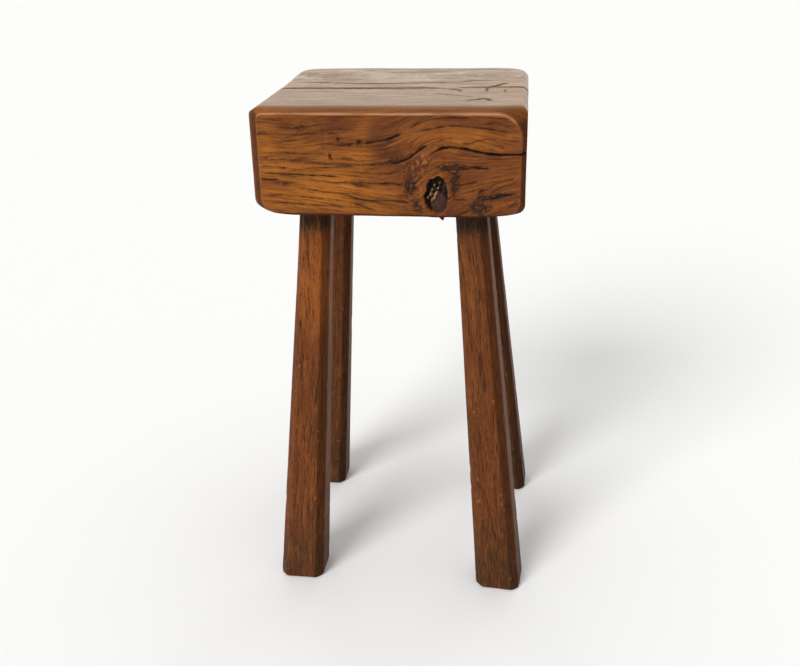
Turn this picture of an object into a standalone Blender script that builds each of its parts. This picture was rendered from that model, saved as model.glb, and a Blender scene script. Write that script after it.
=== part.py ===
"""Four-legged block stool in hardwood.

A thick, nearly square block stands on four splayed legs, which are thin under the seat and thick
at the foot. Each leg ends in a round tenon in a blind mortise under the block. A hidden wedge
spreads each tenon as it is driven home, so the joint holds without nails.

Metres, +Z up. The origin is on the floor below the middle of the seat, and -Y is the front.
"""
import math

import bmesh
import bpy
from mathutils import Matrix, Quaternion, Vector

# Seat block
STOOL_HEIGHT = 0.460
SEAT_WIDTH = 0.228
SEAT_DEPTH = 0.226
SEAT_THICKNESS = 0.090
FRONT_CORNER = 0.011
BACK_CORNER = 0.020
RIM_BEVEL = 0.005

# Legs: half-widths of the square section, measured across the flats
LEG_HALF_AT_SHOULDER = 0.0138
LEG_HALF_AT_FOOT = 0.0212
LEG_CHAMFER = 0.0064
SHOULDER_BEVEL = 0.0012
FOOT_BEVEL = 0.0016

# Joint between a leg and the block
GAP = 0.0003
TENON_RADIUS = 0.0105
TENON_LENGTH = 0.058
TENON_SPREAD = 0.0012
TENON_END_BEVEL = 0.0010
TENON_ROOT = 0.010
TENON_SEGMENTS = 32
WEDGE_LENGTH = 0.034
WEDGE_THICK_END = 0.0044
WEDGE_THIN_END = 0.0012
WEDGE_HALF_WIDTH = 0.0085
OVERRUN = 0.010

UNDERSIDE = STOOL_HEIGHT - SEAT_THICKNESS
UP = Vector((0.0, 0.0, 1.0))

# The legs were cut and set by eye, so each has its own top centre, foot centre (x, y), and
# twist about its own length in degrees.
LEGS = {
    "front_left": {"top": (-0.0675, -0.0640), "foot": (-0.0935, -0.0890), "twist": -0.6},
    "front_right": {"top": (0.0680, -0.0640), "foot": (0.1000, -0.0895), "twist": -5.2},
    "back_left": {"top": (-0.0698, 0.0640), "foot": (-0.1020, 0.0865), "twist": 0.7},
    "back_right": {"top": (0.0670, 0.0640), "foot": (0.1035, 0.0915), "twist": -1.5},
}

# Base colour and roughness of each kind of piece
SEAT_WOOD = ((0.230, 0.085, 0.028), 0.38)
LEG_WOOD = ((0.165, 0.058, 0.020), 0.42)
WEDGE_WOOD = ((0.420, 0.250, 0.110), 0.70)


def clear_scene():
    for thing in list(bpy.data.objects):
        bpy.data.objects.remove(thing, do_unlink=True)


def wood_material(name, wood):
    colour, roughness = wood
    material = bpy.data.materials.new(name)
    material.use_nodes = True
    shader = material.node_tree.nodes["Principled BSDF"]
    shader.inputs["Base Color"].default_value = (*colour, 1.0)
    shader.inputs["Roughness"].default_value = roughness
    shader.inputs["Metallic"].default_value = 0.0
    return material


def new_object(name, bm, wood=None):
    """Turn a finished bmesh into an object of the scene; without a wood it stays bare."""
    bmesh.ops.recalc_face_normals(bm, faces=bm.faces)
    mesh = bpy.data.meshes.new(name)
    bm.to_mesh(mesh)
    bm.free()
    thing = bpy.data.objects.new(name, mesh)
    bpy.context.collection.objects.link(thing)
    if wood:
        mesh.materials.append(wood_material(f"{name}_wood", wood))
    return thing


def combine(target, tool, operation):
    """Cut the tool from the target, or join it on, and keep the tool as a guide only."""
    tool.hide_render = True
    tool.display_type = "WIRE"
    modifier = target.modifiers.new(tool.name, "BOOLEAN")
    modifier.operation = operation
    modifier.solver = "EXACT"
    modifier.object = tool


def tapered_bar(low_z, high_z, low_half, high_half):
    """A four-sided bar along Z; each half is the (x, y) half-width at that end."""
    bm = bmesh.new()
    bmesh.ops.create_cube(bm, size=2.0)
    for vert in bm.verts:
        half = high_half if vert.co.z > 0 else low_half
        z = high_z if vert.co.z > 0 else low_z
        vert.co = Vector((vert.co.x * half[0], vert.co.y * half[1], z))
    return bm


def bevel_edges(bm, edges, width, segments=1):
    bmesh.ops.bevel(
        bm, geom=edges, offset=width, offset_type="OFFSET", segments=segments,
        profile=0.5, affect="EDGES", clamp_overlap=True,
    )


def runs_along(edge, direction, least=0.99):
    run = edge.verts[1].co - edge.verts[0].co
    return abs(run.normalized().dot(direction)) > least


def seat_block():
    """The block, with its two back corners worn rounder than the front ones."""
    half = (SEAT_WIDTH / 2, SEAT_DEPTH / 2)
    bm = tapered_bar(UNDERSIDE, STOOL_HEIGHT, half, half)
    for side, radius in ((-1, FRONT_CORNER), (1, BACK_CORNER)):
        corners = [
            edge for edge in bm.edges
            if runs_along(edge, UP) and edge.verts[0].co.y * side > half[1] * 0.99
        ]
        bevel_edges(bm, corners, radius, segments=4)
    rims = [edge for edge in bm.edges if abs(edge.verts[0].co.z - edge.verts[1].co.z) < GAP]
    bevel_edges(bm, rims, RIM_BEVEL, segments=3)
    return new_object("seat_block", bm, SEAT_WOOD)


def leg_frame(leg):
    """Shoulder centre and turn of a leg whose own Z runs up its length."""
    shoulder = Vector((*leg["top"], UNDERSIDE))
    foot = Vector((*leg["foot"], 0.0))
    lean = UP.rotation_difference(shoulder - foot)
    twist = Quaternion(UP, math.radians(leg["twist"]))
    return shoulder, lean @ twist, (shoulder - foot).length


def trim_level(bm, point, normal):
    """Cut off what lies beyond a plane and close the cut; return the new flat face."""
    geometry = list(bm.verts) + list(bm.edges) + list(bm.faces)
    cut = bmesh.ops.bisect_plane(
        bm, geom=geometry, plane_co=point, plane_no=normal, clear_outer=True,
    )
    rim = [item for item in cut["geom_cut"] if isinstance(item, bmesh.types.BMEdge)]
    return bmesh.ops.edgeloop_fill(bm, edges=rim)["faces"][0]


def leg_bar(name, shoulder, turn, length):
    """The square part of the leg, trimmed level at the floor and just below the seat."""
    slope = (LEG_HALF_AT_FOOT - LEG_HALF_AT_SHOULDER) / length
    low_half = LEG_HALF_AT_FOOT + slope * OVERRUN
    high_half = LEG_HALF_AT_SHOULDER - slope * OVERRUN
    bm = tapered_bar(-length - OVERRUN, OVERRUN, (low_half,) * 2, (high_half,) * 2)
    bevel_edges(bm, [edge for edge in bm.edges if runs_along(edge, UP)], LEG_CHAMFER)
    to_leg = turn.inverted()
    up = to_leg @ UP
    floor_point = to_leg @ Vector((0.0, 0.0, -shoulder.z))
    sole = trim_level(bm, floor_point, -up)
    bevel_edges(bm, list(sole.edges), FOOT_BEVEL)
    crown = trim_level(bm, -GAP * up, up)
    bevel_edges(bm, list(crown.edges), SHOULDER_BEVEL)
    return new_object(name, bm, LEG_WOOD)


def spread_round(radius, end_z, end_bevel=0.0):
    """A round bar along Z whose far end is pushed apart along X, as a wedge leaves it."""
    depth = end_z + TENON_ROOT
    bm = bmesh.new()
    bmesh.ops.create_cone(
        bm, cap_ends=True, segments=TENON_SEGMENTS, radius1=radius, radius2=radius, depth=depth,
        matrix=Matrix.Rotation(math.pi / TENON_SEGMENTS, 4, "Z"),
    )
    for vert in bm.verts:
        if vert.co.z > 0:
            vert.co.x += math.copysign(TENON_SPREAD, vert.co.x)
        vert.co.z += depth / 2 - TENON_ROOT
    if end_bevel:
        rim = [
            edge for edge in bm.edges
            if min(vert.co.z for vert in edge.verts) > end_z - GAP
        ]
        bevel_edges(bm, rim, end_bevel)
    return bm


def wedge_bar(clearance, end_z, half_width):
    """The wedge along Z, thin end down; with a clearance it is the slot that holds it."""
    taper = (WEDGE_THICK_END - WEDGE_THIN_END) / WEDGE_LENGTH
    low_z = TENON_LENGTH - WEDGE_LENGTH - clearance
    low = WEDGE_THIN_END / 2 + clearance - taper * clearance / 2
    high = WEDGE_THICK_END / 2 + clearance + taper * (end_z - TENON_LENGTH) / 2
    return tapered_bar(low_z, end_z, (low, half_width), (high, half_width))


def place(thing, location, turn):
    thing.location = location
    thing.rotation_mode = "QUATERNION"
    thing.rotation_quaternion = turn


def joined_leg(seat, corner, leg):
    """One leg with its tenon, its mortise in the seat, and the wedge that locks it."""
    shoulder, turn, length = leg_frame(leg)
    bar = leg_bar(f"leg_{corner}", shoulder, turn, length)
    tenon = new_object(f"tenon_guide_{corner}",
                       spread_round(TENON_RADIUS, TENON_LENGTH, TENON_END_BEVEL))
    slot = new_object(f"slot_cutter_{corner}",
                      wedge_bar(GAP, TENON_LENGTH + OVERRUN, TENON_RADIUS + OVERRUN))
    mortise = new_object(f"mortise_cutter_{corner}",
                         spread_round(TENON_RADIUS + GAP, TENON_LENGTH + GAP))
    wedge = new_object(f"wedge_{corner}",
                       wedge_bar(0.0, TENON_LENGTH, WEDGE_HALF_WIDTH), WEDGE_WOOD)
    place(bar, shoulder, turn)
    for part in (tenon, slot, mortise, wedge):
        part.parent = bar
    combine(bar, tenon, "UNION")
    combine(bar, slot, "DIFFERENCE")
    combine(seat, mortise, "DIFFERENCE")


def main():
    clear_scene()
    seat = seat_block()
    for corner, leg in LEGS.items():
        joined_leg(seat, corner, leg)


main()
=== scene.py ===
"""Looks of the wooden block stool: a thick block of old hardwood on four splayed square legs.

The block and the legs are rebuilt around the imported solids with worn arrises, drying checks and
a knot hole, and their wood is coloured by its growth rings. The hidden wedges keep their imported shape.
"""
import itertools
import math
from types import SimpleNamespace

import bmesh
import bpy
import numpy as np
from mathutils import Matrix, Vector


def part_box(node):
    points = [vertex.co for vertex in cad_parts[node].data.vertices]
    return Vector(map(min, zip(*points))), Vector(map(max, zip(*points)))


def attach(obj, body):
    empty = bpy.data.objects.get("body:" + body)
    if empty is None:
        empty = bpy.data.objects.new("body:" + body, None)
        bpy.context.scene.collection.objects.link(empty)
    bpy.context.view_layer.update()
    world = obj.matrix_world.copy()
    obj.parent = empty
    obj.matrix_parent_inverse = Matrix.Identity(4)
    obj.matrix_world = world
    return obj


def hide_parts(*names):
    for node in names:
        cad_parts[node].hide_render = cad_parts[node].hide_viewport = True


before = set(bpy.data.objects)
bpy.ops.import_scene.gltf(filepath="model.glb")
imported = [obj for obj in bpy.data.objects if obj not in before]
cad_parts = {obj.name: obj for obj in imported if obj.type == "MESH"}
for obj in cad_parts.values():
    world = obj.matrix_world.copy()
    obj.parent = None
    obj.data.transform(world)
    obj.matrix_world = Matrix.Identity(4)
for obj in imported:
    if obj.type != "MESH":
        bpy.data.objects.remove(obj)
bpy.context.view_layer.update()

MM = 0.001

# The block's own millimetres: x from its middle, y from its middle, z up from its underside.
block_low, block_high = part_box("seat_block")
HALF_X = (block_high.x - block_low.x) / 2 / MM
HALF_Y = (block_high.y - block_low.y) / 2 / MM
THICK = (block_high.z - block_low.z) / MM
BLOCK_ORIGIN = Vector(((block_low.x + block_high.x) / 2, (block_low.y + block_high.y) / 2,
                       block_low.z))


# -------- small tools for fields

def smoothstep(low, high, value):
    t = np.clip((value - low) / (high - low), 0.0, 1.0)
    return t * t * (3.0 - 2.0 * t)


def sigmoid(value):
    return 1.0 / (1.0 + np.exp(-np.clip(value, -40.0, 40.0)))


def smooth_max(a, b, width):
    """The larger of two fields, blended where they differ by less than the width."""
    return np.maximum(a, b) + np.maximum(width - np.abs(a - b), 0.0) ** 2 / (4.0 * width)


def round_max(a, b, radius):
    """The larger of two distances, with the corner between them rounded to a radius."""
    outside = np.hypot(np.maximum(a + radius, 0.0), np.maximum(b + radius, 0.0))
    return np.minimum(np.maximum(a, b), -radius) + outside


def lattice_value(cell, seed):
    """A repeatable value from -1 to 1 for each whole-numbered cell."""
    mixed = cell[..., 0] * 374761393 + cell[..., 1] * 668265263 + cell[..., 2] * 2147483647
    mixed = (mixed + seed * 1442695041) & 0xFFFFFFFF
    mixed = ((mixed ^ (mixed >> 13)) * 1274126177) & 0xFFFFFFFF
    mixed = mixed ^ (mixed >> 16)
    return (mixed & 0xFFFF) / 32767.5 - 1.0


def soft_noise(points, size, seed):
    """Smooth noise from -1 to 1 whose bumps are about one size across, per axis."""
    scaled = points / np.asarray(size, float)
    base = np.floor(scaled).astype(np.int64)
    part = scaled - base
    part = part * part * (3.0 - 2.0 * part)
    total = np.zeros(len(points))
    for corner in np.ndindex(2, 2, 2):
        weight = np.ones(len(points))
        for axis, side in enumerate(corner):
            weight *= part[:, axis] if side else 1.0 - part[:, axis]
        total += weight * lattice_value(base + np.array(corner), seed)
    return total


def smooth_path(points, step=0.8):
    """A smooth curve through 3-D points, as close-set points (Catmull-Rom)."""
    points = np.asarray(points, float)
    padded = np.vstack([2 * points[0] - points[1], points, 2 * points[-1] - points[-2]])
    found = []
    for i in range(len(points) - 1):
        a, b, c, d = padded[i:i + 4]
        count = max(2, int(np.linalg.norm(c - b) / step))
        t = np.linspace(0.0, 1.0, count, endpoint=False)[:, None]
        found.append(0.5 * (2 * b + (c - a) * t + (2 * a - 5 * b + 4 * c - d) * t ** 2
                            + (3 * b - a - 3 * c + d) * t ** 3))
    return np.vstack(found + [points[-1:]])


def near_path(points, path, reach):
    """Distance to a path and how far along it (0 to 1), for the points within its reach."""
    inside = np.all((points > path.min(0) - reach) & (points < path.max(0) + reach), axis=1)
    index = np.nonzero(inside)[0]
    best = np.full(len(index), 1e9)
    along = np.zeros(len(index))
    some = points[index]
    for i in range(len(path) - 1):
        start, run = path[i], path[i + 1] - path[i]
        t = np.clip((some - start) @ run / (run @ run), 0.0, 1.0)
        gap = np.linalg.norm(some - start - t[:, None] * run, axis=1)
        closer = gap < best
        best[closer] = gap[closer]
        along[closer] = (i + t[closer]) / (len(path) - 1)
    return index, best, along


# -------- the block's shape

# Outline of the flat of the front face, and how far the bevels round it run back for each mm out
FACE_LEFT, FACE_RIGHT, FACE_TOP, FACE_FOOT = -104.5, 109.5, THICK - 5.0, 1.8
TOP_LEFT_ROUND, TOP_RIGHT_ROUND, FOOT_ROUND = 5.0, 20.0, 13.0
LEFT_RUN, RIGHT_RUN, TOP_RUN, FOOT_RUN = 1.4, 1.2, 2.0, 1.0
RIGHT_CORNER_STEEPER = 2.6
BACK_CORNER_RADIUS = 25.0
# Bevel round the rest of the top: how far it reaches in and how far it drops
LEFT_RIM, RIGHT_RIM, BACK_RIM = (9.0, 6.0), (4.0, 4.5), (5.0, 5.0)
ARRIS_BLEND = 1.0
TOP_BLEND = 1.6
UNDER_RADIUS = 2.4
END_UNDER_RADIUS = 11.0
CORE_MARGIN = 27.0
SEARCH_STEPS = 26
SLOPE_STEP = 0.25


def face_outline(x, z):
    """How far outside the front face's outline, the bevel's run there, and its share of level."""
    side = np.maximum(FACE_LEFT - x, x - FACE_RIGHT)
    level = np.maximum(z - FACE_TOP, FACE_FOOT - z)
    high = z > THICK / 2
    radius = np.where(high, np.where(x < 0, TOP_LEFT_ROUND, TOP_RIGHT_ROUND), FOOT_ROUND)
    gap = round_max(side, level, radius)
    out_side = np.maximum(side + radius, 0.0)
    out_level = np.maximum(level + radius, 0.0)
    share = out_level ** 2 / (out_level ** 2 + out_side ** 2 + 0.001)
    level_run = np.where(high, TOP_RUN, FOOT_RUN)
    run = np.where(x < 0, LEFT_RUN, RIGHT_RUN) * (1 - share) + level_run * share
    run = run - np.where(high & (x > 0), RIGHT_CORNER_STEEPER, 0.0) * share * (1 - share)
    return gap, run, share


def rim_plane(side, top, reach, drop):
    """Distance to a bevel that reaches in from a side and drops from the top."""
    return (side * drop + top * reach + reach * drop) / np.hypot(reach, drop)


def block_distance(points):
    """Signed distance-like field of the block, below zero inside."""
    x, y, z = points.T
    wobble = 0.7 * soft_noise(points, (38, 38, 60), 3) + 0.25 * soft_noise(points, (13, 13, 17), 4)
    side_x = np.abs(x) - HALF_X
    side_y = np.abs(y) - HALF_Y
    gap, run, _ = face_outline(x, z)
    bevel = (gap * run + side_y) / np.hypot(run, 1.0) + 0.7 * wobble
    front = smooth_max(smooth_max(side_x, bevel, ARRIS_BLEND), side_y, ARRIS_BLEND)
    back = round_max(side_x, side_y, BACK_CORNER_RADIUS)
    plan = np.where(y < 0, front, back)
    top = z - THICK
    side_rim = np.where(x < 0, rim_plane(side_x, top, *LEFT_RIM), rim_plane(side_x, top, *RIGHT_RIM))
    back_rim = rim_plane(back, top, *BACK_RIM)
    to_back = smoothstep(20.0, 80.0, y)
    rim = side_rim * (1 - to_back) + back_rim * to_back + 0.6 * wobble
    shape = smooth_max(smooth_max(plan, rim, ARRIS_BLEND), top, TOP_BLEND)
    under_radius = UNDER_RADIUS + (END_UNDER_RADIUS - UNDER_RADIUS) * smoothstep(72, 114, np.abs(x))
    return np.where(z > THICK / 2, shape, round_max(plan, -z, under_radius))


def block_surface(points):
    """Move points of the sharp box onto the rounded block; return them and the normals."""
    core = np.array([HALF_X, HALF_Y, THICK / 2]) - CORE_MARGIN
    middle = np.array([0.0, 0.0, THICK / 2])
    inner = middle + np.clip(points - middle, -core, core)
    ray = points - inner
    low, high = np.zeros(len(points)), np.ones(len(points)) * 1.02
    for _ in range(SEARCH_STEPS):
        half = (low + high) / 2
        out = block_distance(inner + ray * half[:, None]) > 0
        high = np.where(out, half, high)
        low = np.where(out, low, half)
    found = inner + ray * low[:, None]
    slope = np.empty_like(found)
    for axis in range(3):
        shift = np.zeros(3)
        shift[axis] = SLOPE_STEP
        slope[:, axis] = block_distance(found + shift) - block_distance(found - shift)
    return found, slope / np.linalg.norm(slope, axis=1)[:, None]


# -------- growth rings of the block

KNOT_X, KNOT_Z = 42.0, 21.0
KNOT_DEPTH = 55.0
ARCH_Y, ARCH_RADIUS = 60.0, 110.0
RING_START = 400.0


def grain_lift(x, z):
    """How far the knot and the leaning fibres lift a growth line on the front face."""
    away_x = x - KNOT_X
    away_z = z - KNOT_Z
    rise = 18.2 * sigmoid((x - 20.2) / 8.8) * sigmoid((z - 58.0) / 5.4)
    bulge = 380.0 * away_z / ((away_x / 0.82) ** 2 + away_z ** 2 + 510.0)
    left = -0.116 * (x + 100.0) * sigmoid((36.4 - z) / 6.0) * sigmoid((30.0 - x) / 8.0)
    right = 0.27 * 4.0 * np.logaddexp(0.0, away_x / 4.0) * sigmoid((48.0 - z) / 5.0)
    ripple = 0.26 * (x + 58.0) * np.exp(-((x + 58.0) / 27.0) ** 2 - ((z - 66.0) / 13.0) ** 2)
    return rise + bulge + left + right + ripple


def ring_place(points):
    """Grain coordinates: along the fibres, across the rings, and around them (mm)."""
    x, y, z = points.T
    fade = np.exp(-np.maximum(y + HALF_Y, 0.0) / KNOT_DEPTH)
    level = z - grain_lift(x, z) * fade
    wander = 1.6 * soft_noise(points, (90, 55, 45), 11) + 0.5 * soft_noise(points, (30, 18, 14), 12)
    arch = (y - ARCH_Y) ** 2 / (2.0 * ARCH_RADIUS)
    across = level - arch + wander * (1 - 0.6 * fade) + RING_START
    return np.stack([x, across, y - level * (y - ARCH_Y) / ARCH_RADIUS], axis=1)


# -------- checks, pits and the knot hole

def on_front(x, z):
    return (x, -HALF_Y, z)


def on_back(x, z):
    return (x, HALF_Y, z)


def on_top(x, y):
    return (x, y, THICK)


def on_left(y, z):
    return (-HALF_X, y, z)


def on_right(y, z):
    return (HALF_X, y, z)


def mark(width, depth, dark, *runs):
    """A check or a dark growth line: half-width and depth in mm, and how dark it is.

    It goes through its runs in turn, and each run is a face and the places on it.
    """
    points = [face(*place) for face, *places in runs for place in places]
    return {"path": smooth_path(points), "width": width, "depth": depth, "dark": dark}


# Lines that run round a corner of the block
CORNER_MARKS = [
    # the long check over the knot, which runs out round the right-hand corner
    mark(1, 2.8, 1, (on_front, (31, 50), (37, 53), (42, 56), (47, 58), (52, 58.8), (59, 58.4),
                     (66, 57.2), (73, 55.6), (81, 54.2), (89, 53.2), (98, 53), (109, 53.4)),
         (on_right, (-107, 54), (-95, 54.5), (-78, 57), (-55, 61))),
    # long checks along the top, which run out at both ends
    mark(1.6, 6, 1, (on_left, (-28, 52), (-24, 66), (-20, 80)),
         (on_top, (-109, -19), (-90, -16.4), (-60, -15.2), (-23, -15), (5, -14), (24, -13),
          (40, -15.4), (54, -17))),
    mark(1.2, 4, 1, (on_top, (50, -11), (70, -10.6), (92, -10), (109, -9)),
         (on_right, (-9, 82), (-12, 70))),
]
# Lines that stay on one face: half-width, depth, darkness, and the places they run through
FRONT_MARKS = [
    # the line that rises towards the knot from the left
    (0.72, 0.38, 0.83, (-68, 46), (-52, 45), (-35, 44), (-21, 43.8), (-10, 44.2), (5, 45)),
    (0.78, 1.35, 1, (2, 44.8), (9, 45.6), (14, 47.4), (21, 50.5), (26.5, 55), (32, 59), (37, 61.5)),
    (0.65, 0.3, 0.55, (34, 60.3), (41, 63), (50, 65.6), (57, 66)),
    # wavy line between the arcs
    (0.59, 0.38, 0.8, (60, 62.2), (66, 61.8), (70, 62.3), (74.5, 64.4), (78, 64.6), (81, 66),
     (86, 65.6), (91, 64.4)),
    # the arcs under the top edge
    (0.52, 0.22, 0.8, (-49, 61.2), (-40, 60.4), (-33, 60.2), (-21, 61.8)),
    (1.04, 0.6, 1, (-18, 61.8), (-12, 62.2), (-1, 63.8), (5, 65.6), (11, 68), (16, 69.8)),
    (0.65, 0.45, 0.83, (16, 69.8), (19.5, 72.5), (24, 76), (30, 78.8), (37, 80.8), (48, 82),
     (60, 82.4), (72, 82)),
    (0.65, 0.45, 0.88, (24, 70.8), (36, 73.3), (48, 75.4), (57, 76.2), (70, 75), (82, 73.8),
     (94, 72), (104, 70.8)),
    (0.78, 0.15, 0.49, (80, 77.5), (88, 78.6), (96, 77), (102, 74.5)),
    # dark lines above and beside the knot
    (0.72, 0.45, 0.95, (60, 42.4), (65, 41.2), (70, 42.6), (76, 42.5), (81, 42), (86, 41.4)),
    (0.65, 0.45, 0.8, (58, 27.2), (64, 28.8), (70, 30), (76, 31)),
    (0.59, 0.52, 0.83, (64, 20.8), (70, 22.6), (76, 24), (83, 25), (88, 28.6), (95, 31.5),
     (102, 33), (108, 34)),
    (0.52, 0.38, 0.68, (84, 21), (90, 24.4), (96, 27.4), (102, 29.4), (108, 31)),
    (0.65, 0.45, 0.8, (78, 16), (86, 17), (95, 20), (103, 20.5), (109, 22.5)),
    (0.78, 0.45, 0.74, (55, 17), (60, 15.6), (66, 16.4)),
    (0.65, 0.3, 0.61, (58, 2.4), (64, 5), (70, 8), (74, 9)),
    (0.52, 0.3, 0.68, (100, 9.5), (104, 12.5), (108, 17)),
    # the lower left lines
    (0.65, 0.45, 0.99, (-104, 36.6), (-87, 36), (-67, 35.3), (-49, 34.7), (-35, 33.6)),
    (0.65, 0.45, 0.95, (-32, 30.2), (-22, 29.4), (-7, 28.6), (4, 29.2), (12, 28), (18, 26.8)),
    (0.72, 0.38, 0.93, (-104, 31.4), (-96, 31.2), (-88, 31.6)),
    (0.72, 0.52, 1, (-76, 25), (-66, 23.8), (-59, 22.4), (-50, 20.9), (-41, 20.4), (-32, 18.6),
     (-23, 15.8), (-13, 14.2), (-4, 14.8), (5, 14.5), (16, 13.4), (25, 9)),
    (0.52, 0.22, 0.68, (-40, 20.6), (-28, 20), (-16, 19.4)),
    (0.52, 0.22, 0.68, (-102, 18.6), (-80, 18), (-62, 16.4), (-46, 15.2), (-34, 13.6)),
    (0.59, 0.3, 0.74, (-98, 11.5), (-80, 11.4), (-60, 9.8), (-44, 9.4), (-30, 7.6)),
    (0.65, 0.3, 0.8, (-27, 12.2), (-20, 9.8), (-14, 7.6), (-7, 5)),
    (0.59, 0.3, 0.74, (-101, 53.4), (-80, 53.2), (-62, 53.2), (-46, 53)),
    (0.65, 0.3, 0.8, (-103, 42.4), (-93, 41.6), (-84, 41)),
    (0.45, 0.15, 0.49, (-101, 50.5), (-88, 50.8), (-74, 50.4)),
    (0.45, 0.22, 0.61, (-84, 65.4), (-76, 67), (-66, 68.6), (-52, 69.6)),
    (0.45, 0.22, 0.61, (-90, 60.8), (-82, 62.4), (-75, 64), (-70, 63.6)),
    (0.45, 0.22, 0.55, (-83, 74), (-74, 73.4), (-66, 74.6), (-57, 75.4)),
    (0.65, 0.22, 0.68, (-46, 69), (-41, 69.4), (-36, 68.4)),
    # a scratch across the grain
    (0.45, 0.3, 0.33, (-50.4, 54), (-50, 64), (-50.6, 72), (-49.6, 79)),
]
TOP_MARKS = [
    (0.95, 1.6, 0.75, (-107, 19), (-84, 18.6), (-70, 15.6), (-44, 13), (-20, 11.6), (6, 13),
     (30, 16), (52, 18.4), (64, 20)),
    (0.9, 0.8, 0.65, (52, 22), (64, 24.6), (80, 25)),
    (0.8, 0.8, 0.65, (44, -20), (52, -24), (57, -31)),
    (1.1, 2.4, 1, (80, -10), (86, -3), (90, 5), (96, 12)),
    (0.7, 0.8, 0.6, (80, -12), (78, -20), (79, -32)),
    (1.1, 2.2, 1, (62, -77), (68, -74), (73, -72), (76, -66)),
    (1.1, 2.2, 1, (76, -65), (80, -70), (83, -78)),
    (0.6, 0.3, 0.45, (30, -38), (38, -42), (48, -48), (60, -54), (72, -60)),
    (0.6, 0.3, 0.4, (94, -20), (94, -34)),
]
# Checks that open from the heart on the two ends
LEFT_END_MARKS = [
    (0.6, 2, 0.9, (6, 4), (3, 22), (-4, 40), (-9, 52)),
    (0.45, 1.2, 0.75, (40, 8), (52, 28), (60, 46)),
    (0.45, 1.2, 0.7, (-62, 18), (-74, 36), (-90, 52)),
    (0.4, 1, 0.7, (16, 84), (15, 70), (18, 60)),
]
RIGHT_END_MARKS = [
    (0.6, 2, 0.9, (12, 3), (10, 20), (4, 36), (2, 48)),
    (0.45, 1.2, 0.7, (46, 10), (62, 32), (76, 50)),
    (0.45, 1.2, 0.75, (-40, 8), (-58, 26), (-70, 40)),
]
BACK_MARKS = [
    (0.6, 1.6, 0.9, (104, 52), (70, 50), (30, 51), (-14, 48), (-46, 49)),
    (0.5, 0.8, 0.75, (-104, 30), (-70, 32), (-32, 31), (-2, 33)),
    (0.4, 0.3, 0.55, (96, 68), (62, 70), (30, 68)),
    (0.4, 0.3, 0.6, (64, 16), (20, 18), (-24, 15), (-60, 17)),
]
MARKS = CORNER_MARKS + [
    mark(width, depth, dark, (face, *places))
    for face, marks in ((on_front, FRONT_MARKS), (on_top, TOP_MARKS), (on_back, BACK_MARKS),
                        (on_left, LEFT_END_MARKS), (on_right, RIGHT_END_MARKS))
    for width, depth, dark, *places in marks]

# Small holes: centre, half-lengths along x and z, depth, all on the front face
PITS = [
    ((-20.2, 62.0), (2.3, 2.2), 2.2),
    ((-37.6, 64.7), (1.2, 1.2), 1.3),
    ((-44.9, 51.0), (1.0, 2.2), 2.0),
    ((-43.9, 48.9), (1.0, 1.0), 1.4),
    ((-83.8, 40.7), (1.0, 0.9), 1.2),
]

# Outline of the knot hole, as distances from its middle at even angles from +x upwards
HOLE_MIDDLE = (41.6, 19.6)
HOLE_RADII = (8.8, 9.6, 11.6, 14.6, 15.6, 14.0, 11.0, 9.2, 10.6, 10.0, 11.8, 14.0, 15.6, 14.6,
              12.0, 10.0)
HOLE_DEPTH = 7.0
# The loose plug of bark in the hole: its middle, its half-lengths and how far it stands out
PLUG_MIDDLE, PLUG_HALF = (43.8, 12.6), (8.0, 10.0)
PLUG_RIM, PLUG_DOME = 2.2, 3.6
# Flakes of pale wood in the hole: middle, half-lengths and lean, and how far they all stand out
CHIPS = [
    ((36.8, 19.2), (1.9, 2.2), 0.4), ((39.2, 16.6), (2.1, 1.5), 0.7),
    ((41.0, 20.4), (2.3, 1.2), 0.5), ((38.0, 22.9), (1.2, 1.6), 0.0),
    ((34.4, 16.6), (0.9, 1.4), 0.0), ((42.8, 24.4), (1.3, 0.9), 0.4),
    ((39.8, 27.2), (0.8, 1.3), 0.0), ((44.2, 28.6), (0.8, 1.2), 0.6),
]
CHIP_LIFT = 3.6


def near_front(points, nothing, full):
    """1 near the front face, fading to 0: how far behind it nothing and all of it is left."""
    return smoothstep(-HALF_Y + nothing, -HALF_Y + full, points[:, 1])


def mark_fields(points):
    """Depth to cut and darkness to paint for every check and line, at each point."""
    depth = np.zeros(len(points))
    dark = np.zeros(len(points))
    rough = soft_noise(points, (5, 3, 5), 21)
    fine = soft_noise(points, (2.2, 2.2, 1.6), 22)
    for each in MARKS:
        width = each["width"]
        index, gap, along = near_path(points, each["path"], width * 6 + 1)
        ends = smoothstep(0.0, 0.14, along) * smoothstep(1.0, 0.86, along)
        half = width * (0.35 + 0.65 * ends) * (1.0 + 0.35 * rough[index])
        wavy = np.abs(gap + 0.22 * fine[index])
        groove = 1.0 - smoothstep(0.15 * half, 1.35 * half, wavy)
        halo = 0.28 * (1.0 - smoothstep(half, 4.5 * half, wavy))
        strength = (0.25 + 0.75 * ends) * (0.82 + 0.3 * rough[index])
        depth[index] = np.maximum(depth[index], groove * each["depth"] * ends)
        # In a check the dark paint is partly painted shade in its groove and partly the crack's own
        # dark; a growth line's dark is its own colour
        core = 1.0 - smoothstep(0.6 * half, 1.4 * half, wavy)
        paint = np.clip(np.maximum(core, halo) * strength * each["dark"], 0.0, 1.0)
        dark[index] = np.maximum(dark[index], paint)
    on_face = near_front(points, 4, 1)
    for (x, z), (half_x, half_z), deep in PITS:
        ratio = np.hypot((points[:, 0] - x) / half_x, (points[:, 2] - z) / half_z) + 0.18 * fine
        hole = (1.0 - smoothstep(0.55, 1.1, ratio)) * on_face
        depth = np.maximum(depth, hole * deep)
        # Pits are painted dark inside and round their rims: partly painted shade in the holes
        dark = np.maximum(dark, hole * (1.0 - 0.16 * half_x))
        dark = np.maximum(dark, 0.35 * (1.0 - smoothstep(1.0, 2.2, ratio)) * on_face)
    return depth, dark


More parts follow.
